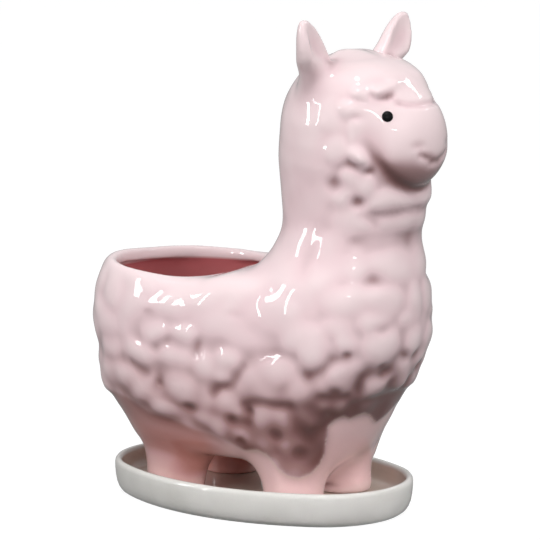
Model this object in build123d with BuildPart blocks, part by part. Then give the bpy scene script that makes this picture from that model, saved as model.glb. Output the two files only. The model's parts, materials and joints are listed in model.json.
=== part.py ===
"""Animal shaped planter: a slip cast, glazed woolly animal that stands loose in an oval glazed saucer.

+X is the way the animal looks, +Y its left side and +Z up.
The origin is the middle of the saucer's underside.
"""
from build123d import *
import os
from math import atan2, copysign, cos, degrees, pi, sin

os.makedirs("parts", exist_ok=True)

# Saucer
saucer_length = 160.6
saucer_width = 106.4
saucer_height = 17.0
saucer_end_radius = 44.0
saucer_floor = 6.2
saucer_wall = 4.0
saucer_foot_round = 5.0
saucer_inner_round = 3.0
saucer_rim_round_share = 0.45

# Casting: heights are taken from the soles of its feet, and its wall is the same all over
casting_wall = 4.8
belly_height = 19.8

# Pot, the rear of the trunk
pot_length = 148.0
pot_width = 95.0
pot_height = 91.0
pot_setback = 16.0
pot_squareness = 2.8
pot_floor = 6.0
drain_diameter = 10.0
drain_setback = 12.0

# Mouth behind the neck, with a lip that hangs over the hollow
mouth_squareness = 2.3
rim_rear_width = 3.0
rim_side_width = 5.0
neck_clearance = 13.0
lip_depth = 6.0
lip_round = 2.0

# Column of chest, neck and head: the chest is as high as the pot and the neck rises from its rim
column_length = 98.0
column_width = 88.6
neck_height = 106.5
column_forward = 40.0
column_squareness = 2.2

# Muzzle
muzzle_length = 31.5
muzzle_width = 44.0
muzzle_depth = 48.0
muzzle_proud = 9.0
muzzle_drop = 11.9

# Legs
foot_length = 29.0
foot_width = 27.0
leg_sink = 10.2
front_foot_forward = 34.1
front_foot_spread = 40.8
rear_foot_setback = 35.7
rear_foot_spread = 45.4

# Ears
ear_height = 37.0
ear_width = 25.0
ear_thickness = 11.0
ear_rise = 16.5
ear_reach = 7.4
ear_lean = 18.0
ear_wall = 3.2

# Eyes
eye_diameter = 5.4
eye_proud = 1.3
eye_sink = 2.0
eye_edge_round = 0.9
eye_spread = 39.6

outline_steps = 16
overrun = 5.0

# One row for each level oval of the pot: height, forward shift, half length, half width
pot_shares = (
    (0.000, 0.017, 0.659, 0.653),
    (0.044, 0.027, 0.703, 0.789),
    (0.110, 0.041, 0.743, 0.874),
    (0.198, 0.039, 0.799, 0.926),
    (0.308, 0.019, 0.873, 0.964),
    (0.440, 0.015, 0.931, 0.989),
    (0.571, 0.016, 0.970, 1.000),
    (0.703, 0.003, 0.997, 1.000),
    (0.835, 0.007, 0.980, 0.989),
    (0.923, 0.011, 0.949, 0.968),
    (0.973, 0.014, 0.919, 0.947),
    (1.000, 0.017, 0.875, 0.916),
)
pot_lip_row = 9

# One row for each level oval of the chest, in the same order, with heights as shares of the pot's
chest_shares = (
    (0.000, -0.245, 0.571, 0.632),
    (0.054, -0.240, 0.658, 0.767),
    (0.132, -0.224, 0.714, 0.858),
    (0.219, -0.199, 0.760, 0.914),
    (0.308, -0.176, 0.804, 0.948),
    (0.395, -0.133, 0.867, 0.975),
    (0.484, -0.082, 0.918, 0.993),
    (0.571, -0.041, 0.959, 1.000),
    (0.681, -0.001, 0.989, 1.000),
    (0.792, 0.020, 0.980, 0.989),
    (0.890, 0.049, 0.947, 0.959),
    (0.957, 0.087, 0.913, 0.926),
)

# The same for neck and head, with heights over the rim as shares of the neck's
neck_shares = (
    (0.010, 0.133, 0.857, 0.880),
    (0.047, 0.165, 0.798, 0.831),
    (0.084, 0.193, 0.754, 0.786),
    (0.160, 0.237, 0.686, 0.729),
    (0.234, 0.270, 0.670, 0.700),
    (0.310, 0.292, 0.696, 0.704),
    (0.403, 0.304, 0.720, 0.729),
    (0.516, 0.309, 0.744, 0.763),
    (0.629, 0.315, 0.734, 0.779),
    (0.739, 0.330, 0.721, 0.772),
    (0.807, 0.349, 0.688, 0.749),
    (0.868, 0.365, 0.618, 0.704),
    (0.920, 0.361, 0.516, 0.628),
    (0.959, 0.347, 0.388, 0.492),
    (0.985, 0.316, 0.235, 0.316),
    (1.000, 0.281, 0.077, 0.095),
)
eye_row = 9
neck_hollow_top_row = 12

# One row for each upright oval of the muzzle: forward, half width, half depth
muzzle_shares = (
    (0.00, 1.00, 0.98),
    (0.25, 1.01, 0.99),
    (0.46, 1.00, 1.00),
    (0.60, 0.97, 0.97),
    (0.73, 0.87, 0.87),
    (0.84, 0.71, 0.71),
    (0.93, 0.49, 0.49),
    (1.00, 0.16, 0.16),
)
muzzle_hollow_top_row = 5

# One row for each level oval of a leg: height, shift towards the arch, half length, half width
leg_shares = (
    (0.00, 0.00, 1.00, 1.00),
    (0.23, 0.03, 1.06, 1.01),
    (0.46, 0.12, 1.22, 1.04),
    (0.70, 0.26, 1.52, 1.07),
    (1.00, 0.36, 1.72, 1.10),
)

# One row for each level oval of an ear, from root to tip: height, lean, half width, half thickness
ear_shares = (
    (0.00, 1.00, 0.50, 0.62),
    (0.14, 0.88, 0.74, 0.84),
    (0.30, 0.73, 0.94, 1.00),
    (0.46, 0.57, 1.00, 1.00),
    (0.59, 0.41, 0.96, 0.91),
    (0.73, 0.28, 0.86, 0.78),
    (0.86, 0.16, 0.64, 0.62),
    (0.955, 0.06, 0.34, 0.37),
    (1.00, 0.00, 0.10, 0.15),
)

# One row for each level oval of the scoop in an ear, in the same order
scoop_shares = (
    (0.24, 0.79, 0.12, 0.20),
    (0.32, 0.71, 0.42, 0.60),
    (0.46, 0.57, 0.66, 0.92),
    (0.59, 0.41, 0.66, 0.92),
    (0.73, 0.28, 0.54, 0.76),
    (0.84, 0.17, 0.34, 0.52),
    (0.92, 0.09, 0.10, 0.20),
)


def oval_points(half_length, half_width, squareness):
    """Points round an oval, which is an ellipse at a squareness of 2 and fuller at the corners above it."""
    points = []
    for step in range(outline_steps):
        along = cos(2 * pi * step / outline_steps)
        across = sin(2 * pi * step / outline_steps)
        x = copysign(abs(along) ** (2 / squareness), along)
        y = copysign(abs(across) ** (2 / squareness), across)
        points.append((half_length * x, half_width * y))
    return points


def oval(plane, half_length, half_width, squareness=2.0):
    """One closed oval on a plane."""
    with BuildSketch(plane) as outline:
        with BuildLine():
            Spline(*oval_points(half_length, half_width, squareness), periodic=True)
        make_face()
    return outline.sketch


def four_arc_oval(plane, half_length, half_width, end_radius):
    """An oval of two end arcs and two side arcs that meet smoothly."""
    reach = half_length - end_radius
    side_radius = (reach**2 + half_width**2 - end_radius**2) / (2 * (half_width - end_radius))
    drop = side_radius - half_width
    swing = degrees(atan2(drop, reach))
    with BuildSketch(plane) as outline:
        with BuildLine():
            CenterArc((reach, 0), end_radius, -swing, 2 * swing)
            CenterArc((0, -drop), side_radius, swing, 180 - 2 * swing)
            CenterArc((-reach, 0), end_radius, 180 - swing, 2 * swing)
            CenterArc((0, drop), side_radius, 180 + swing, 180 - 2 * swing)
        make_face()
    return outline.sketch


def level(forward, side, height):
    """A level plane at one place."""
    return Plane(origin=(forward, side, height))


def upright(forward, height):
    """A plane that faces forwards, with its first direction to the animal's left."""
    return Plane(origin=(forward, 0, height), x_dir=(0, 1, 0), z_dir=(1, 0, 0))


# Saucer: a floor, a low wall with a rolled rim and a rounded foot edge
with BuildPart() as saucer:
    extrude(
        four_arc_oval(Plane.XY, saucer_length / 2, saucer_width / 2, saucer_end_radius),
        amount=saucer_height,
    )
    fillet(saucer.edges().group_by(Axis.Z)[0], radius=saucer_foot_round)
    extrude(
        four_arc_oval(
            Plane.XY.offset(saucer_floor),
            saucer_length / 2 - saucer_wall,
            saucer_width / 2 - saucer_wall,
            saucer_end_radius - saucer_wall,
        ),
        amount=saucer_height,
        mode=Mode.SUBTRACT,
    )
    fillet(saucer.edges().filter_by_position(Axis.Z, saucer_floor, saucer_floor), radius=saucer_inner_round)
    fillet(saucer.edges().group_by(Axis.Z)[-1], radius=saucer_rim_round_share * saucer_wall)
saucer.part.label = "saucer"
export_step(saucer.part, "parts/saucer.step")

# Levels that the casting takes from the saucer's floor, on which it stands
sole_level = saucer_floor
belly_level = sole_level + belly_height
pot_floor_level = belly_level + pot_floor
rim_level = belly_level + pot_height
lip_level = rim_level - lip_depth
crown_level = rim_level + neck_height

# The oval of the head that the eyes lie on sets the place of eyes, muzzle and ears
eye_height_share, eye_shift_share, eye_long_share, eye_wide_share = neck_shares[eye_row]
eye_level = rim_level + eye_height_share * neck_height
head_middle = column_forward + eye_shift_share * column_length / 2
head_half_length = eye_long_share * column_length / 2
head_half_width = eye_wide_share * column_width / 2
muzzle_level = eye_level - muzzle_drop
muzzle_root = head_middle + head_half_length + muzzle_proud - muzzle_length
ear_tip_level = crown_level + ear_rise
ear_middle = column_forward + neck_shares[-1][1] * column_length / 2

# The mouth lies between the pot's rear edge and the back of the neck
rim_rear = (pot_shares[-1][1] - pot_shares[-1][2]) * pot_length / 2 - pot_setback
neck_back = column_forward + (neck_shares[0][1] - neck_shares[0][2]) * column_length / 2
mouth_rear = rim_rear + rim_rear_width
mouth_front = neck_back - neck_clearance
mouth_middle = (mouth_rear + mouth_front) / 2
mouth_half_length = (mouth_front - mouth_rear) / 2
mouth_half_width = pot_shares[-1][3] * pot_width / 2 - rim_side_width


def pot_station(row, height, inset):
    """A level oval of the pot, drawn in by the inset."""
    plane = level(row[1] * pot_length / 2 - pot_setback, 0, height)
    half_length = row[2] * pot_length / 2 - inset
    half_width = row[3] * pot_width / 2 - inset
    return oval(plane, half_length, half_width, pot_squareness)


def column_station(row, height, inset):
    """A level oval of the chest, neck or head, drawn in by the inset."""
    plane = level(row[1] * column_length / 2 + column_forward, 0, height)
    half_length = row[2] * column_length / 2 - inset
    half_width = row[3] * column_width / 2 - inset
    return oval(plane, half_length, half_width, column_squareness)


def pot_stations(rows, inset):
    return [pot_station(row, belly_level + row[0] * pot_height, inset) for row in rows]


def chest_stations(rows, inset):
    return [column_station(row, belly_level + row[0] * pot_height, inset) for row in rows]


def neck_stations(rows, inset):
    return [column_station(row, rim_level + row[0] * neck_height, inset) for row in rows]


def muzzle_stations(rows, inset):
    """Upright ovals of the muzzle, drawn in by the inset."""
    stations = []
    for forward, wide, deep in rows:
        plane = upright(muzzle_root + forward * muzzle_length, muzzle_level)
        stations.append(oval(plane, wide * muzzle_width / 2 - inset, deep * muzzle_depth / 2 - inset))
    return stations


def leg_stations(forward, side, way):
    """The level ovals of one leg, which widens towards the arch between front and rear legs."""
    stations = []
    for height, shift, long, wide in leg_shares:
        plane = level(
            forward + way * shift * foot_length / 2,
            side,
            sole_level + height * (belly_height + leg_sink),
        )
        stations.append(oval(plane, long * foot_length / 2, wide * foot_width / 2))
    return stations


# Outside of the animal: pot, column, muzzle and four legs
with BuildPart() as animal:
    loft(sections=pot_stations(pot_shares, 0))
    loft(sections=chest_stations(chest_shares, 0) + neck_stations(neck_shares, 0))
    loft(sections=muzzle_stations(muzzle_shares, 0))
    for side_sign in (-1, 1):
        loft(sections=leg_stations(front_foot_forward, side_sign * front_foot_spread / 2, -1))
        loft(sections=leg_stations(-rear_foot_setback, side_sign * rear_foot_spread / 2, 1))

# Hollow of the pot, from its floor to the underside of the lip
pot_hollow = [pot_station(pot_shares[1], pot_floor_level, casting_wall)]
pot_hollow += pot_stations(pot_shares[2:pot_lip_row], casting_wall)
pot_hollow.append(pot_station(pot_shares[pot_lip_row], lip_level, casting_wall))

# Hollow of the chest, neck and head, which is open to the pot's
column_hollow = [column_station(chest_shares[1], pot_floor_level, casting_wall)]
column_hollow += chest_stations(chest_shares[2:], casting_wall)
column_hollow += neck_stations(neck_shares[: neck_hollow_top_row + 1], casting_wall)

# Hollow of the muzzle
muzzle_hollow = muzzle_stations(muzzle_shares[: muzzle_hollow_top_row + 1], casting_wall)

# Planter casting: the animal with its hollows, the mouth behind the neck and the drain hole in the belly
with BuildPart() as planter_casting:
    add(animal.part)
    loft(sections=pot_hollow, mode=Mode.SUBTRACT)
    loft(sections=column_hollow, mode=Mode.SUBTRACT)
    loft(sections=muzzle_hollow, mode=Mode.SUBTRACT)
    under_lip = level(mouth_middle, 0, lip_level - overrun)
    extrude(
        oval(under_lip, mouth_half_length, mouth_half_width, mouth_squareness),
        amount=lip_depth + 2 * overrun,
        mode=Mode.SUBTRACT,
    )
    rim_edges = planter_casting.edges().filter_by_position(Axis.Z, rim_level, rim_level)
    mouth_edge = rim_edges.sort_by_distance((mouth_middle, 0, rim_level))[0]
    fillet(mouth_edge, radius=lip_round)
    with BuildSketch(level(-drain_setback, 0, belly_level - overrun)):
        Circle(drain_diameter / 2)
    extrude(amount=pot_floor + 2 * overrun, mode=Mode.SUBTRACT)
planter_casting.part.label = "planter_casting"
export_step(planter_casting.part, "parts/planter_casting.step")


def ear_stations(rows, side_sign, forward_shift):
    """Level ovals of an ear or of its scoop, from root to tip."""
    stations = []
    for height, lean, wide, thick in rows:
        side = side_sign * (head_half_width + ear_reach - lean * ear_lean)
        plane = level(ear_middle + forward_shift, side, ear_tip_level - (1 - height) * ear_height)
        stations.append(oval(plane, thick * ear_thickness / 2, wide * ear_width / 2))
    return stations


# Ears: leaf shaped, scooped in front, cast apart and luted on to the sides of the crown
for ear_name, side_sign in (("ear_right", -1), ("ear_left", 1)):
    with BuildPart() as ear:
        loft(sections=ear_stations(ear_shares, side_sign, 0))
        loft(sections=ear_stations(scoop_shares, side_sign, ear_wall), mode=Mode.SUBTRACT)
        add(animal.part, mode=Mode.SUBTRACT)
    ear.part.label = ear_name
    export_step(ear.part, f"parts/{ear_name}.step")

# Eyes: domed dots of black glaze on the front of the head, square to its oval there
side_share = (eye_spread / 2) / head_half_width
long_share = (1 - side_share**column_squareness) ** (1 / column_squareness)
eye_forward = head_middle + long_share * head_half_length
slope_forward = long_share ** (column_squareness - 1) / head_half_length
slope_side = side_share ** (column_squareness - 1) / head_half_width

for eye_name, side_sign in (("eye_right", -1), ("eye_left", 1)):
    facing = (slope_forward, side_sign * slope_side, 0)
    face_plane = Plane(origin=(eye_forward, side_sign * eye_spread / 2, eye_level), z_dir=facing)
    with BuildPart() as eye:
        with BuildSketch(face_plane.offset(-eye_sink)):
            Circle(eye_diameter / 2)
        extrude(amount=eye_sink + eye_proud)
        outwards = Axis(face_plane.origin, face_plane.z_dir)
        outer_edge = eye.edges().filter_by(GeomType.CIRCLE).sort_by(outwards)[-1]
        fillet(outer_edge, radius=eye_edge_round)
        add(animal.part, mode=Mode.SUBTRACT)
    eye.part.label = eye_name
    export_step(eye.part, f"parts/{eye_name}.step")
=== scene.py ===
"""Animal shaped planter of glazed ceramic in its saucer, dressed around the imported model."""
import json
from math import cos, radians, sin

import bpy
import numpy as np
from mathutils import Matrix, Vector, noise
from mathutils.bvhtree import BVHTree

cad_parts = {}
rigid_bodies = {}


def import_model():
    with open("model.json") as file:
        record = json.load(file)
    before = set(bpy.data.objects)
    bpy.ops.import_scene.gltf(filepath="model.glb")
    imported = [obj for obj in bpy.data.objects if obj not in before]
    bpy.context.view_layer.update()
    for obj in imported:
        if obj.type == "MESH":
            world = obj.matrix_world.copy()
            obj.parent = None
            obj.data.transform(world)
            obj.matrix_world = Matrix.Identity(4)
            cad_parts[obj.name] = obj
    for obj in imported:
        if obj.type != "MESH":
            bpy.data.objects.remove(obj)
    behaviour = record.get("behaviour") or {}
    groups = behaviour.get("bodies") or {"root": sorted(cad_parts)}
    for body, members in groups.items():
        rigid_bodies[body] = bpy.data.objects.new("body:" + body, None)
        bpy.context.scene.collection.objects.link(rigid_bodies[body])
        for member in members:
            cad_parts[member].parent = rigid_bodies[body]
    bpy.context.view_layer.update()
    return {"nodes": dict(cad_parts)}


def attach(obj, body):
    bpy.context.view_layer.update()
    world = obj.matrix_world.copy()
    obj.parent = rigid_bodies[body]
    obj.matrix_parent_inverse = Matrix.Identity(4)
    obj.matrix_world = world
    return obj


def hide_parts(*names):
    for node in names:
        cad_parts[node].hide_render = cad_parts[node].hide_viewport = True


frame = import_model()
bpy.ops.object.select_all(action="DESELECT")

# Camera: it stands where the photograph was taken from, to the animal's front right and a little above it.
# Its place and lens were worked out from the saucer's oval, the soles and both ear tips.
photo_side = 540
focal_px = 2800.9
sensor_mm = 36
camera_azimuth = radians(36.01)
camera_heading = radians(35.84)
camera_pitch = radians(8.68)
camera_distance = 1.350
camera_height = 0.3202
camera_place = Vector((
    sin(camera_azimuth) * camera_distance,
    -cos(camera_azimuth) * camera_distance,
    camera_height,
))
bpy.ops.object.camera_add(location=camera_place, rotation=(radians(90) - camera_pitch, 0, camera_heading))
camera = bpy.context.object
camera.data.sensor_width = sensor_mm
camera.data.lens = focal_px / photo_side * sensor_mm
camera.data.clip_start = 0.05
bpy.context.scene.camera = camera
camera_right = Vector((cos(camera_heading), sin(camera_heading), 0))
camera_forward = Vector((
    -sin(camera_heading) * cos(camera_pitch),
    cos(camera_heading) * cos(camera_pitch),
    -sin(camera_pitch),
))
camera_up = camera_right.cross(camera_forward)


def sight(x, y):
    """The direction from the camera through a point of the photograph, in its 540 px frame."""
    across = (x - photo_side / 2) / focal_px
    down = (y - photo_side / 2) / focal_px
    return (camera_forward + camera_right * across - camera_up * down).normalized()


def in_photograph(places):
    """Where places in millimetres lie in the photograph, in its 540 px frame."""
    away = places / 1000 - np.array(camera_place)
    depth = away @ np.array(camera_forward)
    x = photo_side / 2 + focal_px * (away @ np.array(camera_right)) / depth
    y = photo_side / 2 - focal_px * (away @ np.array(camera_up)) / depth
    return x, y


# Clay body: one hollow shell of slip cast clay, with a round face, full cheeks, and a web of clay between
# its stout front legs. It starts from the casting's own shell, and each form is pressed on to it, as the
# master was built up.
face_middle = (0.0832, 0, 0.1840)
face_half = (0.0182, 0.0246, 0.0246)
web_middle = (0.0290, 0, 0.0310)
web_half = (0.0150, 0.0200, 0.0215)
cheek_middle = (0.0700, 0, 0.1880)
cheek_half = (0.0180, 0.0272, 0.0215)
# Front leg at the sole and in the chest: level, distance forward and aside, half length and width, in mm
leg_foot = (6.8, 34.1, 20.4, 14.2, 13.2)
leg_root = (44.0, 36.5, 25.0, 17.5, 15.5)
leg_sides = 48

casting = bpy.data.objects.new("casting_shell", frame["nodes"]["planter_casting"].data.copy())
bpy.context.collection.objects.link(casting)
casting.select_set(True)
bpy.context.view_layer.objects.active = casting
bpy.ops.object.mode_set(mode="EDIT")
bpy.ops.mesh.select_all(action="SELECT")
bpy.ops.mesh.remove_doubles(threshold=1e-6)
bpy.ops.object.mode_set(mode="OBJECT")
casting.select_set(False)
clay = [casting]
for middle, half in ((face_middle, face_half), (cheek_middle, cheek_half), (web_middle, web_half)):
    bpy.ops.mesh.primitive_uv_sphere_add(segments=48, ring_count=24, radius=1, location=middle, scale=half)
    bpy.context.object.select_set(False)
    clay.append(bpy.context.object)
for side in (-1, 1):
    bpy.ops.mesh.primitive_cylinder_add(vertices=leg_sides, depth=1, radius=1, end_fill_type="NGON")
    leg = bpy.context.object
    for vertex in leg.data.vertices:
        level, forward, aside, half_long, half_wide = leg_foot if vertex.co.z < 0 else leg_root
        vertex.co = (
            (forward + half_long * vertex.co.x) / 1000,
            (side * aside + half_wide * vertex.co.y) / 1000,
            level / 1000,
        )
    leg.select_set(False)
    clay.append(leg)

# Ears: solid leaf shapes of the same clay, scooped in front and luted on wet, so that no seam is left.
# Each is drawn out ring by ring from its root in the head to a blunt tip, and leans outwards as it rises.
ear_middle_x = 54.0
ear_turn = radians(8)
ear_wide_share = 1.257
ear_thick_share = 0.834
ear_points = 32
scoop_half_angle = radians(57)
# One row for each ring from root to tip: level, distance from the middle, half size, scoop depth
# and how far the ring is set back, in mm
ear_rings = (
    (201.0, 18.0, 8.4, 0.0, 11.0),
    (210.0, 25.0, 8.9, 0.0, 6.0),
    (217.0, 29.8, 9.0, 1.0, 2.4),
    (220.0, 31.4, 8.9, 2.8, 1.2),
    (222.5, 32.9, 8.6, 4.2, 0.5),
    (226.0, 34.9, 7.8, 4.6, 0.0),
    (229.0, 36.1, 7.1, 4.3, 0.0),
    (232.0, 37.4, 6.2, 3.6, 0.0),
    (235.0, 38.8, 5.0, 2.6, 0.0),
    (237.3, 40.0, 3.8, 1.5, 0.0),
    (239.0, 40.9, 2.4, 0.4, 0.0),
    (239.9, 41.4, 1.1, 0.0, 0.0),
)


def stacked_rings(points, count):
    """A round rod of so many rings a unit apart, drawn out of its top face, ready to be shaped."""
    bpy.ops.mesh.primitive_cylinder_add(vertices=points, depth=1, radius=1, end_fill_type="NGON")
    rod = bpy.context.object
    bpy.ops.object.mode_set(mode="EDIT")
    bpy.ops.mesh.select_all(action="DESELECT")
    bpy.ops.object.mode_set(mode="OBJECT")
    for face in rod.data.polygons:
        face.select = face.normal.z > 0.9
    bpy.ops.object.mode_set(mode="EDIT")
    bpy.ops.mesh.select_mode(type="FACE")
    for _ in range(count - 2):
        bpy.ops.mesh.extrude_region_move(TRANSFORM_OT_translate={"value": (0, 0, 1)})
    bpy.ops.object.mode_set(mode="OBJECT")
    return rod


def ring_of(vertex):
    """Which ring of its rod a vertex is on, counted from 0 at the bottom."""
    return round(vertex.co.z + 0.5)


def faces_turned_out():
    """The active piece's faces all point outwards, and the piece is let go."""
    bpy.ops.object.mode_set(mode="EDIT")
    bpy.ops.mesh.select_all(action="SELECT")
    bpy.ops.mesh.normals_make_consistent(inside=False)
    bpy.ops.object.mode_set(mode="OBJECT")
    bpy.context.object.select_set(False)


for side in (-1, 1):
    ear = stacked_rings(ear_points, len(ear_rings))
    for vertex in ear.data.vertices:
        level, spread, half, scoop, back = ear_rings[ring_of(vertex)]
        front, out = vertex.co.x, vertex.co.y
        angle = abs(np.arctan2(out, front))
        thick = half * ear_thick_share * front
        wide = half * ear_wide_share * out
        if angle < scoop_half_angle:
            thick -= scoop * (1 - (angle / scoop_half_angle) ** 2)
        vertex.co = (
            (ear_middle_x - back + thick * cos(ear_turn) + wide * sin(ear_turn)) / 1000,
            side * (spread + wide * cos(ear_turn) - thick * sin(ear_turn)) / 1000,
            level / 1000,
        )
    faces_turned_out()
    clay.append(ear)

# One skin: the clay of body, face, cheeks, legs and ears is joined wet, so that it fires as one piece.
# All are fused into one closed skin of even small faces, and bubbles shut up inside the clay are left out.
voxel = 0.0012
for piece in clay:
    piece.select_set(True)
bpy.context.view_layer.objects.active = casting
bpy.ops.object.join()
skin = casting.modifiers.new("one_skin", "REMESH")
skin.mode = "VOXEL"
skin.voxel_size = voxel
bpy.ops.object.modifier_apply(modifier=skin.name)
for vertex in casting.data.vertices:
    vertex.select = vertex.index == 0
bpy.ops.object.mode_set(mode="EDIT")
bpy.ops.mesh.select_mode(type="VERT")
bpy.ops.mesh.select_linked()
bpy.ops.mesh.select_all(action="INVERT")
bpy.ops.mesh.delete(type="VERT")
bpy.ops.object.mode_set(mode="OBJECT")


def places_of(mesh):
    """Vertex places in millimetres."""
    flat = np.empty(len(mesh.vertices) * 3)
    mesh.vertices.foreach_get("co", flat)
    return flat.reshape(-1, 3) * 1000


def set_places(mesh, places):
    """Vertices moved to places in millimetres."""
    mesh.vertices.foreach_set("co", (places / 1000).ravel())
    mesh.update()


def edges_of(mesh):
    """The two vertex numbers of each edge."""
    flat = np.empty(len(mesh.edges) * 2, dtype=np.int32)
    mesh.edges.foreach_get("vertices", flat)
    return flat.reshape(-1, 2)


def normals_of(mesh):
    """The outward direction at each vertex."""
    flat = np.empty(len(mesh.vertices) * 3)
    mesh.vertex_normals.foreach_get("vector", flat)
    return flat.reshape(-1, 3)


def relaxed(values, edges, rounds, weight=0.5):
    """Values drawn towards the mean of their neighbours, some rounds over."""
    flat = values if values.ndim == 2 else values[:, None]
    count = np.bincount(edges.ravel(), minlength=len(flat)).astype(float)
    share = weight if np.isscalar(weight) else weight[:, None]
    for _ in range(rounds):
        mean = np.empty_like(flat)
        for k in range(flat.shape[1]):
            column = np.bincount(edges[:, 0], flat[edges[:, 1], k], len(flat))
            column += np.bincount(edges[:, 1], flat[edges[:, 0], k], len(flat))
            mean[:, k] = column / count
        flat = flat + share * (mean - flat)
    return flat if values.ndim == 2 else flat[:, 0]


def rubbed(places, edges, amount, rounds):
    """Places drawn together only where the amount is over zero, with the rest left as it is."""
    touched = amount > 0.002
    inner = touched[edges[:, 0]] | touched[edges[:, 1]]
    kept = np.unique(edges[inner])
    number = np.full(len(places), -1)
    number[kept] = np.arange(len(kept))
    patch = relaxed(places[kept], number[edges[inner]], rounds, 0.5 * amount[kept])
    places = places.copy()
    places[kept] = patch
    return places


def evened(places, edges, rounds):
    """Places with the small steps taken out and the form kept, as a damp sponge does."""
    for _ in range(rounds):
        places = relaxed(places, edges, 1, 0.5)
        places = relaxed(places, edges, 1, -0.52)
    return places


def ramp(value, start, end):
    """A smooth step from 0 at the start to 1 at the end."""
    t = np.clip((value - start) / (end - start), 0, 1)
    return t * t * (3 - 2 * t)


def band(value, rise_start, rise_end, fall_start, fall_end):
    """1 over a band of values, with a smooth step up before it and down after it."""
    return ramp(value, rise_start, rise_end) * (1 - ramp(value, fall_start, fall_end))


# Sponging: the leather hard clay is evened all over with a damp sponge, and each join is rubbed round.
# These are the shoulder beside the mouth, the join of pot and chest, the throat, legs, cheeks and ears.
mouth_middle_x = -42.5
mouth_half_length = 34.0
mouth_half_width = 38.5
mouth_roundness = 2.3
rim_level = 117.0
drain_x = -12
drain_radius = 5.8
sponge_strokes = 8
mesh = casting.data
edges = edges_of(mesh)
places = evened(places_of(mesh), edges, sponge_strokes)


def mouth_oval(places):
    """1 on the edge of the mouth, less inside it and more outside."""
    along = np.abs(places[:, 0] - mouth_middle_x) / mouth_half_length
    across = np.abs(places[:, 1]) / mouth_half_width
    return (along**mouth_roundness + across**mouth_roundness) ** (1 / mouth_roundness)


def outer_side(places, edges):
    """The outside of the shell, flooded from its highest point as far as the mouth and the drain hole."""
    x, y, z = places.T
    gate = (mouth_oval(places) < 1.03) & (z > rim_level - 6) & (z < rim_level - 2)
    gate |= (np.hypot(x - drain_x, y) < drain_radius) & (z > 27) & (z < 34)
    outside = np.zeros(len(places), dtype=bool)
    outside[np.argmax(z)] = True
    grew = True
    while grew:
        reached = outside[edges[:, 0]] != outside[edges[:, 1]]
        spread = np.unique(edges[reached])
        spread = spread[~gate[spread] & ~outside[spread]]
        outside[spread] = True
        grew = len(spread) > 0
    return outside


outside = outer_side(places, edges)
x, y, z = places.T
shoulder = band(z, 96, 108, 122, 136) * band(x, -50, -22, 24, 44) * ramp(mouth_oval(places), 1.0, 1.24)
trunk_join = band(x, -14, 2, 30, 50) * band(z, 30, 44, 104, 114) * ramp(abs(y), 26, 34)
throat = ramp(x, 56, 70) * band(z, 100, 110, 126, 140)
leg_tops = band(z, 12, 20, 40, 52)
front_leg_tops = ramp(x, 8, 24) * band(z, 10, 19, 44, 58)
front_leg_fronts = ramp(x, 34, 42) * band(z, 10, 15, 36, 50)
cheek_join = band(z, 174, 188, 206, 216) * ramp(x, 54, 66)
ear_join = band(z, 190, 200, 213, 221) * ramp(abs(y), 14, 20)
places = rubbed(places, edges, np.maximum(shoulder, trunk_join) * outside, 160)
rim_crest = band(mouth_oval(places), 0.99, 1.02, 1.2, 1.35) * band(z, 104, 110, 122, 132) * ramp(x, -70, -40)
for part, strokes in (
    (rim_crest, 22),
    (throat, 120),
    (leg_tops, 40),
    (front_leg_tops, 110),
    (front_leg_fronts, 240),
    (cheek_join, 110),
    (ear_join, 90),
):
    places = rubbed(places, edges, part * outside, strokes)

# The haunches stand out a little behind, over the rear legs
haunch_level = 53
haunch_spread = 15
haunch_swell = 2.6
haunch = ramp(-x, 50, 68) * np.exp(-((z - haunch_level) ** 2) / haunch_spread**2) * outside
places[:, 0] -= haunch_swell * haunch
set_places(mesh, places)

# The hollow side holds no detail, so it keeps fewer faces than the outside.
hollow_kept_share = 0.12
hollow = casting.vertex_groups.new(name="hollow")
hollow.add([int(k) for k in np.flatnonzero(~outside)], 1.0, "REPLACE")
thin = casting.modifiers.new("fewer_faces_inside", "DECIMATE")
thin.ratio = outside.mean() + hollow_kept_share * (1 - outside.mean())
thin.vertex_group = hollow.name
bpy.ops.object.modifier_apply(modifier=thin.name)
mesh = casting.data
edges = edges_of(mesh)
places = places_of(mesh)
outside = outer_side(places, edges)

# Fleece: rolled locks and pressed creases, modelled by hand in the master that the mould was taken from.
# Those that the photograph shows are placed by its points, and the far side and rear carry on in kind.
# One row for each lock in the photograph: across, down, half width and half height in px, height in mm
flank_locks_px = (
    (133, 303, 11, 14, 1.4), (155, 332, 13, 10, 2.0), (184, 334, 11, 9, 2.1), (216, 322, 22, 15, 1.5),
    (175, 358, 17, 12, 2.2), (140, 352, 16, 11, 2.0), (109, 346, 9, 12, 1.6), (104, 322, 9, 12, 1.7),
    (108, 369, 8, 9, 1.7), (205, 370, 12, 14, 2.6), (228, 362, 14, 11, 2.3), (125, 374, 12, 9, 2.2),
    (143, 388, 16, 12, 2.4), (185, 388, 20, 15, 2.7), (165, 405, 15, 10, 2.2), (207, 396, 10, 14, 2.0),
    (222, 377, 9, 8, 2.2), (256, 386, 21, 18, 3.1), (229, 405, 14, 14, 2.4), (263, 418, 12, 14, 2.4),
    (219, 425, 12, 10, 1.9), (205, 416, 10, 9, 1.7), (246, 433, 12, 10, 1.9), (252, 345, 18, 12, 1.0),
    (240, 330, 16, 12, 1.0), (272, 316, 20, 16, 1.2), (112, 292, 9, 13, 1.2), (170, 305, 16, 12, 1.2),
    (98, 284, 6, 9, 1.5), (99, 307, 6, 9, 1.7), (137, 283, 13, 10, 0.9), (205, 300, 13, 10, 1.0),
)
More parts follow.
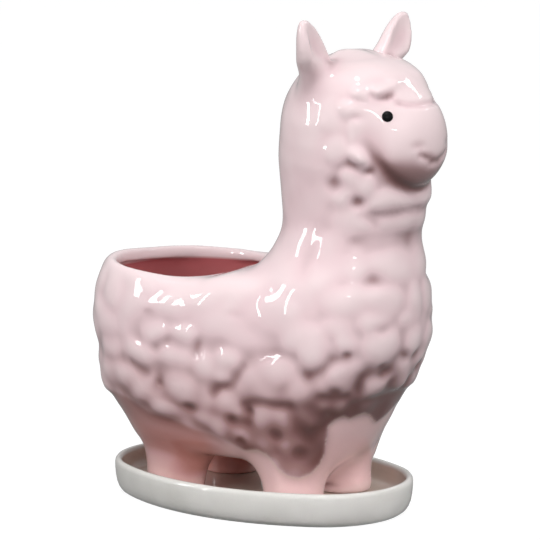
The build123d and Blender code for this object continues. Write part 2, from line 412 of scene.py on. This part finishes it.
chest_locks_px = (
    (300, 343, 17, 14, 1.8), (273, 373, 19, 14, 2.8), (313, 352, 13, 18, 2.5), (342, 345, 13, 11, 1.8),
    (341, 379, 14, 14, 3.2), (324, 387, 12, 10, 2.2), (342, 408, 10, 8, 1.8), (372, 389, 16, 9, 2.6),
    (402, 372, 8, 12, 3.0), (380, 347, 17, 14, 2.5), (413, 343, 8, 14, 2.5), (260, 438, 9, 14, 1.7),
    (284, 420, 14, 13, 2.2), (290, 441, 14, 13, 1.7), (309, 417, 12, 10, 2.0), (321, 406, 10, 8, 1.8),
    (300, 462, 20, 16, 0.8), (316, 446, 12, 12, 0.8), (298, 396, 16, 14, 2.2), (282, 397, 10, 10, 1.4),
    (353, 366, 10, 9, 1.8), (365, 404, 10, 8, 1.4), (391, 405, 10, 9, 1.4), (388, 383, 8, 8, 0.9),
)
neck_locks_px = (
    (396, 200, 26, 10, 3.0), (350, 226, 17, 15, 2.0), (392, 232, 20, 14, 2.2), (396, 265, 19, 16, 2.5),
    (386, 301, 19, 14, 2.5), (346, 304, 18, 14, 2.1), (352, 265, 16, 16, 1.7), (414, 300, 8, 16, 2.7),
    (326, 270, 14, 16, 1.2), (372, 324, 15, 9, 2.0), (410, 318, 9, 10, 2.1), (337, 327, 15, 10, 1.8),
    (345, 197, 11, 10, 1.8), (352, 181, 10, 9, 1.7), (365, 190, 8, 9, 1.8), (333, 247, 13, 12, 1.2),
)
head_locks_px = (
    (381, 89, 11, 7, 4.4), (363, 93, 9, 6, 3.2), (413, 95, 22, 8, 5.4), (353, 111, 12, 8, 3.3),
    (357, 133, 8, 13, 3.2), (367, 153, 15, 11, 6.2), (379, 161, 6, 6, 1.4), (352, 52, 17, 6, 2.0),
    (338, 152, 12, 12, 1.4), (333, 118, 12, 14, 0.9), (366, 168, 8, 6, 1.7), (427, 96, 13, 7, 5.6),
)
# One row for each pressed pit: across, down, half width and half height in px, depth in mm
pits_px = (
    (147, 312, 6, 4, 0.5), (190, 407, 5, 4, 1.6), (159, 383, 4, 4, 1.2), (250, 411, 4, 4, 1.2),
    (232, 420, 4, 4, 1.2), (242, 441, 4, 4, 1.2), (277, 436, 5, 5, 1.3), (300, 453, 6, 6, 1.2),
    (335, 392, 5, 4, 1.2), (384, 374, 6, 5, 2.2), (382, 366, 4, 3, 1.0), (405, 357, 4, 5, 1.2),
    (359, 389, 5, 7, 1.6), (347, 357, 5, 5, 1.6), (335, 187, 9, 9, 1.5), (358, 203, 9, 6, 1.6),
    (375, 282, 11, 8, 1.4), (382, 330, 8, 5, 0.8), (369, 172, 4, 3, 1.4), (357, 158, 7, 4, 0.8),
    (233, 315, 6, 4, 0.4), (178, 325, 5, 4, 0.3), (355, 118, 6, 3, 0.7), (355, 242, 7, 5, 0.5),
    (419, 147, 7, 4, 0.7),
)
# Pressed lines: depth in mm, half width in px, then their points across and down in px
creases_px = (
    (1.2, 2.6, ((155, 347), (160, 342), (166, 340))),
    (1.2, 2.6, ((197, 343), (196, 355))),
    (1.0, 2.4, ((133, 363), (140, 368), (147, 373))),
    (1.2, 2.6, ((155, 387), (160, 379))),
    (1.9, 2.8, ((214, 393), (221, 388), (232, 385), (238, 376), (243, 367))),
    (1.9, 2.6, ((245, 406), (254, 402), (264, 402), (276, 405), (290, 406))),
    (0.9, 3.0, ((265, 356), (279, 354), (293, 357))),
    (1.9, 3.4, ((308, 377), (318, 372), (327, 367), (337, 362), (348, 361))),
    (1.1, 2.2, ((333, 341), (335, 347), (338, 353))),
    (1.3, 2.6, ((322, 397), (334, 396), (346, 396))),
    (1.5, 2.6, ((365, 398), (376, 397), (386, 395), (396, 391), (404, 384), (408, 377))),
    (2.0, 3.4, ((310, 438), (316, 431), (324, 425), (334, 419), (343, 412), (350, 405))),
    (1.2, 2.6, ((362, 217), (368, 220), (375, 225))),
    (0.9, 4.0, ((374, 214), (386, 214), (398, 213), (410, 212))),
    (0.7, 4.0, ((322, 322), (338, 323), (354, 322))),
    (3.2, 1.7, ((372, 96), (379, 98), (387, 98), (393, 96))),
    (3.6, 1.7, ((398, 103), (409, 105), (421, 105), (433, 103))),
    (2.4, 1.8, ((431, 163), (437, 161), (442, 157), (446, 152))),
)
# The line along which the fleece ends above the smooth legs: across and down in px
fleece_edge_px = (
    (60, 386), (100, 388), (114, 391), (125, 396), (136, 403), (149, 412), (168, 417), (181, 423),
    (195, 430), (211, 434), (225, 441), (245, 452), (258, 451), (266, 455), (272, 462), (278, 470),
    (288, 477), (299, 479), (310, 475), (319, 466), (324, 455), (326, 440), (328, 428), (335, 422),
    (343, 417), (350, 420), (357, 416), (364, 413), (369, 416), (373, 421), (377, 426), (390, 426),
    (430, 420), (520, 420),
)
skin_distance_mm = 1340
px_per_mm = focal_px / skin_distance_mm
# The least share of a patch's size that the photograph is taken to show, where the skin is seen edge on
least_along_shown = 0.35
least_across_shown = 0.45
skin_tree = BVHTree.FromObject(casting, bpy.context.evaluated_depsgraph_get())


def on_skin(x, y):
    """Where the line of sight through a point of the photograph meets the skin, in mm, and its normal."""
    place, normal, _, _ = skin_tree.ray_cast(camera_place, sight(x, y))
    return np.array(place) * 1000, np.array(normal)


def patch_on_skin(x, y, wide, high):
    """The place, the two directions along the skin and the real half sizes of a patch of the photograph."""
    place, normal = on_skin(x, y)
    along = np.array(camera_right) - normal * (normal @ np.array(camera_right))
    along_shown = max(np.linalg.norm(along), least_along_shown)
    along /= np.linalg.norm(along)
    across = np.cross(normal, along)
    across_shown = max(abs(across @ np.array(camera_up)), least_across_shown)
    return place, normal, along, across, wide / px_per_mm / along_shown, high / px_per_mm / across_shown


def mirrored(patch):
    """The same patch on the other side of the animal."""
    flip = np.array((1, -1, 1))
    return tuple(part * flip if isinstance(part, np.ndarray) else part for part in patch)


def share_of(points, patch):
    """The squared distance of points from the middle of a patch, where 1 is its edge."""
    place, normal, along, across, wide, high = patch
    away = points - place
    deep = max(wide, high)
    return (away @ along / wide) ** 2 + (away @ across / high) ** 2 + (away @ normal / deep) ** 2


def face_ball(points):
    """The squared distance of points in mm from the middle of the face, where 1 is its ball."""
    return np.sum(((points / 1000 - face_middle) / face_half) ** 2, axis=-1)


skin_points = places[outside]
skin_normals = normals_of(mesh)[outside]
edge_x, edge_y = np.array(fleece_edge_px).T
near_side = skin_points * (1, 0, 1) - abs(skin_points) * (0, 1, 0)
shown_x, shown_y = in_photograph(near_side)
above_edge = np.interp(shown_x, edge_x, edge_y) - shown_y

locks = []
for rows in (flank_locks_px, chest_locks_px, neck_locks_px, head_locks_px):
    for across_px, down_px, wide_px, high_px, height in rows:
        locks.append((patch_on_skin(across_px, down_px, wide_px, high_px), height))

# The far side carries each of them on, a little shaken, but for those on the middle line itself
head_level = 192
middle_width = 9
head_middle_width = 20
lock_shake = 1.0
shake = np.random.default_rng(7)
for patch, height in locks[:]:
    place, *rest = mirrored(patch)
    if abs(place[1]) < (head_middle_width if place[2] > head_level else middle_width):
        continue
    locks.append(((place + shake.normal(0, lock_shake, 3), *rest), height))

# Locks that fill the rest of the fleece, out of the camera's sight, kept apart by about one lock's width
filler_gap = 12.0
filler_half_widths = (7.5, 11.5)
filler_half_heights = (6.0, 9.0)
trunk_lock_height = 2.4
neck_lock_height = 1.3
least_lock_height = 0.2
filler_tries = 9000
filler_above_edge_px = 7
filler_levels = (26, 205)
clear_of_face = 1.6
seen_slant = 0.22
far_side_y = 30
seats = np.array([patch[0] for patch, height in locks])
for k in shake.permutation(len(skin_points))[:filler_tries]:
    point, normal = skin_points[k], skin_normals[k]
    if above_edge[k] < filler_above_edge_px or not filler_levels[0] <= point[2] <= filler_levels[1]:
        continue
    if face_ball(point) < clear_of_face:
        continue
    toward = np.array(camera_place) * 1000 - point
    if normal @ toward / np.linalg.norm(toward) > seen_slant and point[1] < far_side_y:
        continue
    if np.min(np.sum((seats - point) ** 2, axis=1)) < filler_gap**2:
        continue
    trunk = 1 - ramp(point[2], 70, 108)
    neck = ramp(point[2], 112, 124) * ramp(point[0], 40, 70)
    height = trunk_lock_height * trunk + neck_lock_height * neck + least_lock_height
    along = np.cross((0, 0, 1), normal)
    along /= np.linalg.norm(along)
    across = np.cross(normal, along)
    wide = shake.uniform(*filler_half_widths)
    high = shake.uniform(*filler_half_heights)
    seats = np.vstack((seats, point))
    locks.append(((point, normal, along, across, wide, high), height))

# Every lock is a low soft dome, and where locks meet they press together and leave a crease between.
# The hand that shaped them left the wool slightly uneven, and its lower edge stands proud of the legs.
lock_spread = 1.5
lock_roundness = 1.2
lock_height_share = 0.84
crease_sharpness = 2.2
hand_width = 14
hand_waver = 2.4
uneven_width = 17
uneven_height = 0.6
skirt_height = 0.3
noise.seed_set(4)
warp = np.array([noise.noise_vector(Vector(p / hand_width)) for p in skin_points])
bent = skin_points + hand_waver * warp
total = np.zeros(len(bent))
for patch, height in locks:
    reach = 1.15 * lock_spread * max(patch[4], patch[5])
    near = np.flatnonzero(np.max(np.abs(bent - patch[0]), axis=1) < reach)
    share = np.minimum(share_of(bent[near], patch) / lock_spread**2, 1)
    dome = height * lock_height_share * (1 - share) ** lock_roundness
    total[near] += np.exp(crease_sharpness * dome) - 1
rise = np.log1p(total) / crease_sharpness
x, y, z = skin_points.T
beside_eye = ramp(z, 176, 188) * (1 - ramp(shown_x, 364, 378))
woolly = ramp(above_edge, -4.5, 3.5) * ramp(face_ball(skin_points), 1.15, 1.6 + 1.2 * beside_eye)
uneven = np.array([noise.fractal(Vector(p / uneven_width), 1.0, 2.0, 2) for p in skin_points])
rim_band = (1 - ramp(mouth_oval(skin_points), 1.15, 1.4)) * band(z, 90, 104, 122, 135)
ear_part = ramp(z, 212, 219)
rise = (rise + uneven_height * uneven * (1 - 0.4 * rim_band) * (1 - ear_part)) * woolly
skirt = skirt_height * woolly * (1 - ramp(z, 60, 92))

# Pits and lines are pressed in with the end and the edge of a wooden tool
pit_depth_share = 0.8
pit_sharpness = 0.9
line_depth_share = 0.34
pressed = np.zeros(len(bent))
for across_px, down_px, wide_px, high_px, depth in pits_px:
    patch = patch_on_skin(across_px, down_px, wide_px, high_px)
    for each in (patch, mirrored(patch)):
        pressed += pit_depth_share * depth * np.exp(-pit_sharpness * share_of(skin_points, each))
for depth, half_px, points_px in creases_px:
    stops = np.array([on_skin(*point)[0] for point in points_px])
    half_width = 2.0 * half_px / px_per_mm
    for flip in (1, -1):
        line = stops * np.array((1, flip, 1))
        nearest = np.full(len(skin_points), 1e9)
        for start, end in zip(line[:-1], line[1:]):
            span = end - start
            along = np.clip((skin_points - start) @ span / (span @ span), 0, 1)
            gap = np.sum((skin_points - start - along[:, None] * span) ** 2, axis=1)
            nearest = np.minimum(nearest, gap)
        pressed = np.maximum(pressed, line_depth_share * depth * np.exp(-nearest / half_width**2))

# The wool is rubbed soft, most on the trunk and least on the head, and kept to the casting's own size
rub_strokes = 9
settle_strokes = 50
settle_share = 0.55
droop = np.array((0, 0, -0.28))
outer_number = np.full(len(places), -1)
outer_number[outside] = np.arange(outside.sum())
both = outside[edges[:, 0]] & outside[edges[:, 1]]
outer_edges = outer_number[edges[both]]
rise = relaxed(rise, outer_edges, rub_strokes, 0.5 - 0.4 * ramp(z, 155, 172))
settled = relaxed(rise, outer_edges, settle_strokes)
lift = rise - settle_share * settled - pressed + skirt
smooth_normals = relaxed(skin_normals, outer_edges, 6)
smooth_normals /= np.linalg.norm(smooth_normals, axis=1)[:, None]
places[outside] += lift[:, None] * smooth_normals + (rise - settled)[:, None] * droop
places = evened(places, edges, 1)

# The rim isn't quite level: it rises at the rear corner and sags beside the neck, as the photo shows.
# One row for each swell or sag: its middle along and across, how far it spreads and how high it is, in mm
rim_swells = ((-74, -12, 20, 1.8), (-17, -32, 26, -2.9))
x, y, z = places.T
rim_part = ramp(z, 96, 112) * (1 - ramp(x, -8, 8))
for along, across, spread, height in rim_swells:
    places[:, 2] += height * rim_part * np.exp(-((x - along) ** 2 + (y - across) ** 2) / spread**2)
set_places(mesh, places)
mesh.shade_smooth()

# Glaze: one coat of thin milky pink, poured on and fired. It flows off the high places and pools in the
# creases and pits, where it fires to a mauve brown; painted shade darkens the creases, hollows, undersides
# and low wool as well. It lies thicker on the low wool, and thin and warmer-toned on the legs and inside,
# where it was only rinsed; a painted bounce of light reddens the shade between the rear legs.
skin_points = places[outside]
skin_normals = normals_of(mesh)[outside]
x, y, z = skin_points.T


def hollow_depth(strokes):
    """How deep each point lies under its surroundings in mm, taken over so many strokes of smoothing."""
    return np.sum((relaxed(skin_points, outer_edges, strokes) - skin_points) * skin_normals, axis=1)


def on_whole(values):
    """Values of the outer points laid out for every point of the skin, with 0 on the hollow side."""
    whole = np.zeros(len(places))
    whole[outside] = values
    return whole


def give_mesh(mesh, name, values):
    """A value for each vertex that a material can read by name."""
    mesh.attributes.new(name, "FLOAT", "POINT").data.foreach_set("value", values)


wool = ramp(above_edge, -1, 3)
# The low wool is darker towards the bottom: partly a thicker wash of glaze, partly painted shade, most low
# on the chest and near the feet
low_wool_wash_and_shade = wool * (1 - ramp(z, 44, 92))
foot_wool = wool * (1 - ramp(z, 14, 48))
front_low_painted_shade = wool * (1 - ramp(z, 42, 84)) * ramp(x, 5, 50)
low_chest_painted_shade = wool * band(z, 18, 40, 50, 84) * ramp(x, 34, 62)
breast = wool * ramp(x, 40, 58) * band(z, 70, 90, 172, 186)
front_leg = (1 - wool) * ramp(x, 5, 20) * (1 - ramp(z, 48, 60))
# Painted shade on the legs: darker from the foot upwards, most on the rear legs under the body
leg_painted_shade = (1 - wool) * ramp(z, 2, 18) * (0.06 + 0.94 * ramp(-x, -10, 10))
# Painted shade: darker where the skin faces downwards, and under the muzzle, where shade falls; under the
# muzzle some is pooling glaze too
painted_underside_shade = ramp(-skin_normals[:, 2], -0.1, 0.7)
muzzle_glaze_and_painted_shade = ramp(x, 70, 80) * ramp(-skin_normals[:, 2], -0.2, 0.55) * (1 - ramp(face_ball(skin_points), 1.2, 1.5))
drift = np.array([noise.noise(Vector(p / 21)) for p in skin_points])

# How dark the glaze lies, from 0, flowed off, to 1, pooling deep, with painted shade added in
# Painted shade, darker towards the bottom: below the shoulder, low on the chest, near the feet and under the
# muzzle
coat = 0.22 + 0.11 * (1 - ramp(z, 84, 122)) + 0.1 * drift
runs_and_painted_shade = 0.09 * breast + 0.1 * foot_wool + 0.2 * front_low_painted_shade + 0.24 * muzzle_glaze_and_painted_shade + 0.3 * low_chest_painted_shade
# Creases darken with pooling glaze and with painted shade; broad hollows and undersides darken as painted
# shade
creases = (1.3 - 0.4 * ramp(z, 48, 76)) * hollow_depth(8)
broad_painted_shade = (0.48 * hollow_depth(70) + 0.5 * painted_underside_shade) * (1 - 0.8 * front_leg)
glaze_pool_and_painted_shade = on_whole(np.clip(coat + runs_and_painted_shade + creases + broad_painted_shade, 0, 1))
low_wash_and_painted_shade = on_whole(np.maximum(np.maximum(0.95 * low_wool_wash_and_shade, leg_painted_shade), 0.78 * muzzle_glaze_and_painted_shade))
bare = on_whole((1 - wool) * (1 - ramp(z, 48, 60)))

# Between the legs, a painted bounce of light: the inner faces of the rear legs and the undersides there are
# tinted red, as shade lit by light off the pink body
facing_in = ramp(-np.sign(y) * skin_normals[:, 1], -0.1, 0.5)
between_legs = (1 - wool) * ramp(-x, -10, 10) * (1 - ramp(z, 34, 50))
warm = on_whole(0.8 * between_legs * np.maximum(facing_in, 0.7 * painted_underside_shade))

# The edge of the thicker glaze shows as a pale line over the front legs
hem_above_edge_px = 0.5
hem_width_px = 1.6
hem_strength = 0.55
hem_line = np.exp(-((above_edge - hem_above_edge_px) / hem_width_px) ** 2)
hem = on_whole(hem_strength * hem_line * (1 - ramp(z, 46, 60)) * ramp(x, 5, 25))
give_mesh(mesh, "glaze_pool_and_painted_shade", relaxed(glaze_pool_and_painted_shade, edges, 6))
give_mesh(mesh, "low_wash_and_painted_shade", relaxed(low_wash_and_painted_shade, edges, 3))
give_mesh(mesh, "bare", relaxed(bare, edges, 2))
give_mesh(mesh, "warm", relaxed(warm, edges, 6))
give_mesh(mesh, "hem", hem)
give_mesh(mesh, "inner", (~outside).astype(float))

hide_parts("planter_casting", "ear_left", "ear_right")
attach(casting, "planter")


def linear(hex_colour):
    """An sRGB hex colour as linear red, green, blue and a full alpha."""
    parts = [int(hex_colour[i : i + 2], 16) / 255 for i in (1, 3, 5)]
    return [p / 12.92 if p <= 0.04045 else ((p + 0.055) / 1.055) ** 2.4 for p in parts] + [1]


def new_material(name):
    """A new material with its main shader."""
    material = bpy.data.materials.new(name)
    material.use_nodes = True
    return material, material.node_tree.nodes["Principled BSDF"]


def add_node(tree, kind, settings=None, **links):
    """A new node with its settings, whose named inputs take a value or another node's output."""
    node = tree.nodes.new(kind)
    for key, value in (settings or {}).items():
        setattr(node, key, value)
    for key, value in links.items():
        socket = node.inputs[int(key[1:])] if key[0] == "i" and key[1:].isdigit() else node.inputs[key]
        if isinstance(value, bpy.types.NodeSocket):
            tree.links.new(value, socket)
        else:
            socket.default_value = value
    return node


# Milky pink glaze with a sharp clear gloss: it gives soft pink high places, mauve brown creases and small
# bright lights with hard edges. The mauve brown is partly pooling glaze and partly painted shade.
pink, shader = new_material("pink_glaze_with_painted_shade")
tree_of_pink = pink.node_tree
shader.inputs["Roughness"].default_value = 0.45
shader.inputs["Specular IOR Level"].default_value = 0.2
shader.inputs["Coat Weight"].default_value = 1.0
shader.inputs["Coat Roughness"].default_value = 0.03
painted = {
    name: add_node(tree_of_pink, "ShaderNodeAttribute", {"attribute_name": name}).outputs["Fac"]
    for name in ("glaze_pool_and_painted_shade", "low_wash_and_painted_shade", "bare", "warm", "hem", "inner")
}
high_glaze = add_node(tree_of_pink, "ShaderNodeValToRGB", None, Fac=painted["glaze_pool_and_painted_shade"])
low_glaze = add_node(tree_of_pink, "ShaderNodeValToRGB", None, Fac=painted["glaze_pool_and_painted_shade"])
# The ramps turn dark where glaze pools and where painted shade is put; the low ramp, for the low wool, is
# darker, partly a thicker wash and partly painted shade
high_stops = ((0.0, "#F4DEE0"), (0.3, "#EFD3D7"), (0.55, "#D6B9BD"), (0.8, "#AA8789"), (1.0, "#815B5B"))
low_stops = ((0.0, "#DDC1C3"), (0.3, "#BE9A9C"), (0.5, "#9A716F"), (0.75, "#7A504D"), (1.0, "#613B38"))
for ramp_node, stops in ((high_glaze, high_stops), (low_glaze, low_stops)):
    points = ramp_node.color_ramp.elements
    while len(points) < len(stops):
        points.new(0.5)
    for point, (position, colour) in zip(points, stops):
        point.position = position
        point.color = linear(colour)
wool_glaze = add_node(
    tree_of_pink, "ShaderNodeMix", {"data_type": "RGBA"},
    i0=painted["low_wash_and_painted_shade"], i6=high_glaze.outputs[0], i7=low_glaze.outputs[0],
)
body_glaze = add_node(
    tree_of_pink, "ShaderNodeMix", {"data_type": "RGBA", "blend_type": "MULTIPLY"},
    i0=painted["bare"], i6=wool_glaze.outputs[2], i7=linear("#FBF2EE"),
)
# Painted bounce of light: the red tint between the rear legs
leg_glaze = add_node(
    tree_of_pink, "ShaderNodeMix", {"data_type": "RGBA"},
    i0=painted["warm"], i6=body_glaze.outputs[2], i7=linear("#DE9389"),
)

# Inside, from just under the lip, the rinsed glaze is a deeper red: partly its own colour and partly painted
# shade, darkest just under the lip and paler towards the floor
lip_top = 0.1118
lip_bottom = 0.1102
hollow_stops = ((0.070, "#DB9696"), (0.110, "#C46C6F"))
place = add_node(tree_of_pink, "ShaderNodeTexCoord").outputs["Object"]
level_here = add_node(tree_of_pink, "ShaderNodeSeparateXYZ", None, Vector=place).outputs["Z"]
under_lip = add_node(
    tree_of_pink, "ShaderNodeMapRange", None, Value=level_here,
    i1=lip_top, i2=lip_bottom, i3=0.0, i4=1.0,
)
in_hollow = add_node(
    tree_of_pink, "ShaderNodeMath", {"operation": "MULTIPLY"},
    i0=painted["inner"], i1=under_lip.outputs[0],
)
hollow_glaze = add_node(tree_of_pink, "ShaderNodeValToRGB", None, Fac=level_here)
for point, (position, colour) in zip(hollow_glaze.color_ramp.elements, hollow_stops):
    point.position = position
    point.color = linear(colour)
all_glaze = add_node(
    tree_of_pink, "ShaderNodeMix", {"data_type": "RGBA"},
    i0=in_hollow.outputs[0], i6=leg_glaze.outputs[2], i7=hollow_glaze.outputs[0],
)
edged_glaze = add_node(
    tree_of_pink, "ShaderNodeMix", {"data_type": "RGBA"},
    i0=painted["hem"], i6=all_glaze.outputs[2], i7=linear("#DCC4B8"),
)
tree_of_pink.links.new(edged_glaze.outputs[2], shader.inputs["Base Color"])
casting.data.materials.clear()
casting.data.materials.append(pink)

# Eyes: two low beads of black glaze, set on the front of the face with a brush and fired with the rest.
# The glaze is thick and smooth, so each is nearly flat black with a soft light on it.
eye_px = (387.5, 116.5)
eye_radius = 2.6
eye_thickness = 1.1
eye_place, eye_normal = on_skin(*eye_px)
black, shader = new_material("black_glaze")
shader.inputs["Base Color"].default_value = linear("#0A0A0C")
shader.inputs["Roughness"].default_value = 0.22
shader.inputs["Specular IOR Level"].default_value = 0.2
for name, flip in (("eye_right", 1), ("eye_left", -1)):
    bpy.ops.mesh.primitive_uv_sphere_add(segments=32, ring_count=16, radius=1)
    eye = bpy.context.object
    eye.name = name + "_bead"
    side = np.array((1, flip, 1))
    facing = Vector(eye_normal * side)
    turn = facing.to_track_quat("Z", "Y")
    for vertex in eye.data.vertices:
        flat = Vector((vertex.co.x * eye_radius, vertex.co.y * eye_radius, vertex.co.z * eye_thickness))
        vertex.co = (Vector(eye_place * side) + turn @ flat) / 1000
    eye.data.shade_smooth()
    eye.data.materials.append(black)
    eye.select_set(False)
    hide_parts(name)
    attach(eye, "planter")

# Saucer: a shallow oval tray of white stoneware, pressed in a mould and glazed but for its foot ring.
# Its wall bows out a little and ends in a soft round rim, and the planter stands loose on its floor.
saucer_half_length = 80.3
saucer_half_width = 53.2
saucer_end_radius = 44.0
saucer_points = 144
# One row for each ring, from under the foot to the floor: distance in from the widest oval, and level, in mm
saucer_rings = (
    (30.0, 0.8), (9.6, 0.8), (8.9, 0.5), (8.4, 0.0), (6.2, 0.0), (4.6, 0.4), (3.0, 1.5), (1.8, 3.2),
    (0.9, 5.6), (0.35, 8.6), (0.05, 12.0), (0.0, 14.6), (0.25, 15.9), (0.9, 16.75), (1.8, 17.0), (2.7, 16.8),
    (3.4, 16.1), (3.8, 14.9), (4.1, 12.4), (4.5, 10.0), (5.3, 8.1), (6.6, 6.9), (8.4, 6.35), (10.5, 6.2),
    (30.0, 6.2),
)
# The first ring that is inside the basin
basin_ring = 17
end_middle = saucer_half_length - saucer_end_radius
side_radius = (end_middle**2 + saucer_half_width**2 - saucer_end_radius**2) / (
    2 * (saucer_half_width - saucer_end_radius)
)
side_middle = side_radius - saucer_half_width
turn_over = np.arctan2(side_middle, end_middle)
tray = stacked_rings(saucer_points, len(saucer_rings))
tray.name = "saucer_tray"
in_basin = np.zeros(len(tray.data.vertices))
for vertex in tray.data.vertices:
    inset, level_mm = saucer_rings[ring_of(vertex)]
    in_basin[vertex.index] = ring_of(vertex) >= basin_ring
    facing = np.arctan2(abs(vertex.co.y), abs(vertex.co.x))
    if facing < turn_over:
        along = end_middle + (saucer_end_radius - inset) * cos(facing)
        across = (saucer_end_radius - inset) * sin(facing)
    else:
        along = (side_radius - inset) * cos(facing)
        across = (side_radius - inset) * sin(facing) - side_middle
    vertex.co = (
        np.sign(vertex.co.x) * along / 1000,
        np.sign(vertex.co.y) * across / 1000,
        level_mm / 1000,
    )
faces_turned_out()
tray.data.shade_smooth()
give_mesh(tray.data, "basin", in_basin)
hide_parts("saucer")
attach(tray, "saucer")

# Stoneware under a pale white glaze: it gives soft white with a faint cloudiness about a thumb's width
# across, and a sharp wet gloss. The white is set a little grey, as painted shade for the dim light low by
# the floor. The basin is tinted warmer, partly a thicker glaze and partly a painted reflection of the pink
# planter.
white, shader = new_material("white_glaze_with_painted_shade_and_reflection")
tree_of_white = white.node_tree
cloud_width = 0.022
# Painted shade: both stops are a little grey, for the dim light low by the floor
cloud_stops_with_painted_shade = ((0.3, "#D3D1CC"), (0.7, "#E0DEDA"))
place = add_node(tree_of_white, "ShaderNodeTexCoord").outputs["Object"]
cloud = add_node(tree_of_white, "ShaderNodeTexNoise", None, Vector=place, Scale=1 / cloud_width, Detail=2.0)
cloudy = add_node(tree_of_white, "ShaderNodeValToRGB", None, Fac=cloud.outputs["Fac"])
for point, (position, colour) in zip(cloudy.color_ramp.elements, cloud_stops_with_painted_shade):
    point.position = position
    point.color = linear(colour)
basin_value = add_node(tree_of_white, "ShaderNodeAttribute", {"attribute_name": "basin"}).outputs["Fac"]
# Basin tint: partly thicker glaze, partly a painted reflection of the pink planter
basin_glaze_and_painted_reflection = add_node(
    tree_of_white, "ShaderNodeMix", {"data_type": "RGBA", "blend_type": "MULTIPLY"},
    i0=basin_value, i6=cloudy.outputs[0], i7=linear("#F7E8DE"),
)
tree_of_white.links.new(basin_glaze_and_painted_reflection.outputs[2], shader.inputs["Base Color"])
shader.inputs["Roughness"].default_value = 0.4
shader.inputs["Specular IOR Level"].default_value = 0.3
shader.inputs["Coat Weight"].default_value = 1.0
shader.inputs["Coat Roughness"].default_value = 0.05
tray.data.materials.append(white)

# Ground and light: the object stands on white paper, under a soft sky and eight soft lamps.
# Five of the lamps show in the gloss, as small windows of light do, and three only fill the shade.
# The paper and the world show white to the camera, and throw little light up at the object.
ground_size = 20
paper_shown = 0.92
gloss_share = 0.25
bpy.ops.mesh.primitive_plane_add(size=ground_size, location=(0, 0, 0))
ground = bpy.context.object
ground.name = "ground"
paper, shader = new_material("white_paper")
ground.data.materials.append(paper)
paper_tree = paper.node_tree


def seen_white(tree):
    """1 for camera rays, and a share of 1 for glossy rays, as white fills only part of the gloss."""
    path = add_node(tree, "ShaderNodeLightPath")
    in_gloss = add_node(
        tree, "ShaderNodeMath", {"operation": "MULTIPLY"},
        i0=path.outputs["Is Glossy Ray"], i1=gloss_share,
    )
    shown = in_gloss.outputs[0]
    for ray in ("Is Camera Ray", "Is Transmission Ray"):
        brighter = add_node(
            tree, "ShaderNodeMath", {"operation": "MAXIMUM"},
            i0=shown, i1=path.outputs[ray],
        )
        shown = brighter.outputs[0]
    return shown


shown = seen_white(paper_tree)
dull = add_node(paper_tree, "ShaderNodeBsdfDiffuse", None, Color=linear("#5A5A5A"))
shaded = add_node(paper_tree, "ShaderNodeBsdfDiffuse", None, Color=linear("#6E6E6E"))
glow = add_node(paper_tree, "ShaderNodeEmission", None, Color=(1, 1, 1, 1), Strength=paper_shown)
keeps_shadow = add_node(
    paper_tree, "ShaderNodeAddShader", None,
    i0=shaded.outputs[0], i1=glow.outputs[0],
)
split = add_node(
    paper_tree, "ShaderNodeMixShader", None,
    i0=shown, i1=dull.outputs[0], i2=keeps_shadow.outputs[0],
)
paper_tree.links.new(split.outputs[0], paper_tree.nodes["Material Output"].inputs["Surface"])

# The sky is dim below and brighter overhead
sky_low = -0.05
sky_high = 0.40
dim_strength = 0.06
bright_strength = 0.55
world = bpy.data.worlds.new("studio")
bpy.context.scene.world = world
world.use_nodes = True
sky = world.node_tree
shown = seen_white(sky)
direction = add_node(sky, "ShaderNodeTexCoord").outputs["Generated"]
height = add_node(sky, "ShaderNodeSeparateXYZ", None, Vector=direction).outputs["Z"]
level = add_node(
    sky, "ShaderNodeMapRange", {"interpolation_type": "SMOOTHSTEP"}, Value=height,
    i1=sky_low, i2=sky_high, i3=dim_strength, i4=bright_strength,
)
soft_light = add_node(sky, "ShaderNodeBackground", None, Color=(1, 1, 1, 1), Strength=level.outputs[0])
backdrop = sky.nodes["Background"]
backdrop.inputs["Color"].default_value = (1, 1, 1, 1)
backdrop.inputs["Strength"].default_value = 1.0
either = add_node(
    sky, "ShaderNodeMixShader", None,
    i0=shown, i1=soft_light.outputs[0], i2=backdrop.outputs[0],
)
sky.links.new(either.outputs[0], sky.nodes["World Output"].inputs["Surface"])


def softbox(name, place, aim, wide, high, watts, in_gloss=True):
    """A soft box lamp, which lights the object and may show in its gloss, but not in the picture."""
    bpy.ops.object.light_add(type="AREA", location=place)
    light = bpy.context.object
    light.name = name
    light.data.shape = "RECTANGLE"
    light.data.size = wide
    light.data.size_y = high
    light.data.energy = watts
    light.rotation_euler = (Vector(aim) - Vector(place)).to_track_quat("-Z", "Y").to_euler()
    light.visible_camera = False
    light.visible_glossy = in_gloss
    return light


softbox("side_box_a", (-0.68, -0.68, 0.36), (0, 0, 0.15), 0.10, 0.34, 1.6)
softbox("side_box_b", (-0.49, -0.82, 0.32), (0, 0, 0.15), 0.035, 0.36, 0.6)
softbox("front_fill", (1.32, -0.66, 0.72), (0.03, 0, 0.12), 0.9, 0.9, 12.0, in_gloss=False)
softbox("side_fill", (-0.42, -1.20, 0.74), (0.03, 0, 0.14), 0.6, 0.6, 4.4, in_gloss=False)
softbox("front_strip", (0.78, -0.93, 0.59), (0.07, 0, 0.17), 0.17, 0.04, 0.36)
softbox("rear_strip", (0.42, 0.72, 0.82), (0.08, 0, 0.19), 0.20, 0.06, 0.5)
low_fill = softbox("low_fill", (0.95, -0.55, 0.16), (0.05, 0, 0.005), 0.3, 0.06, 0.015, in_gloss=False)
low_fill.data.spread = radians(9)
softbox("top_box", (0.30, -0.42, 1.0), (0.03, 0, 0.15), 0.14, 0.22, 1.5)

bpy.context.scene.view_settings.view_transform = "Standard"
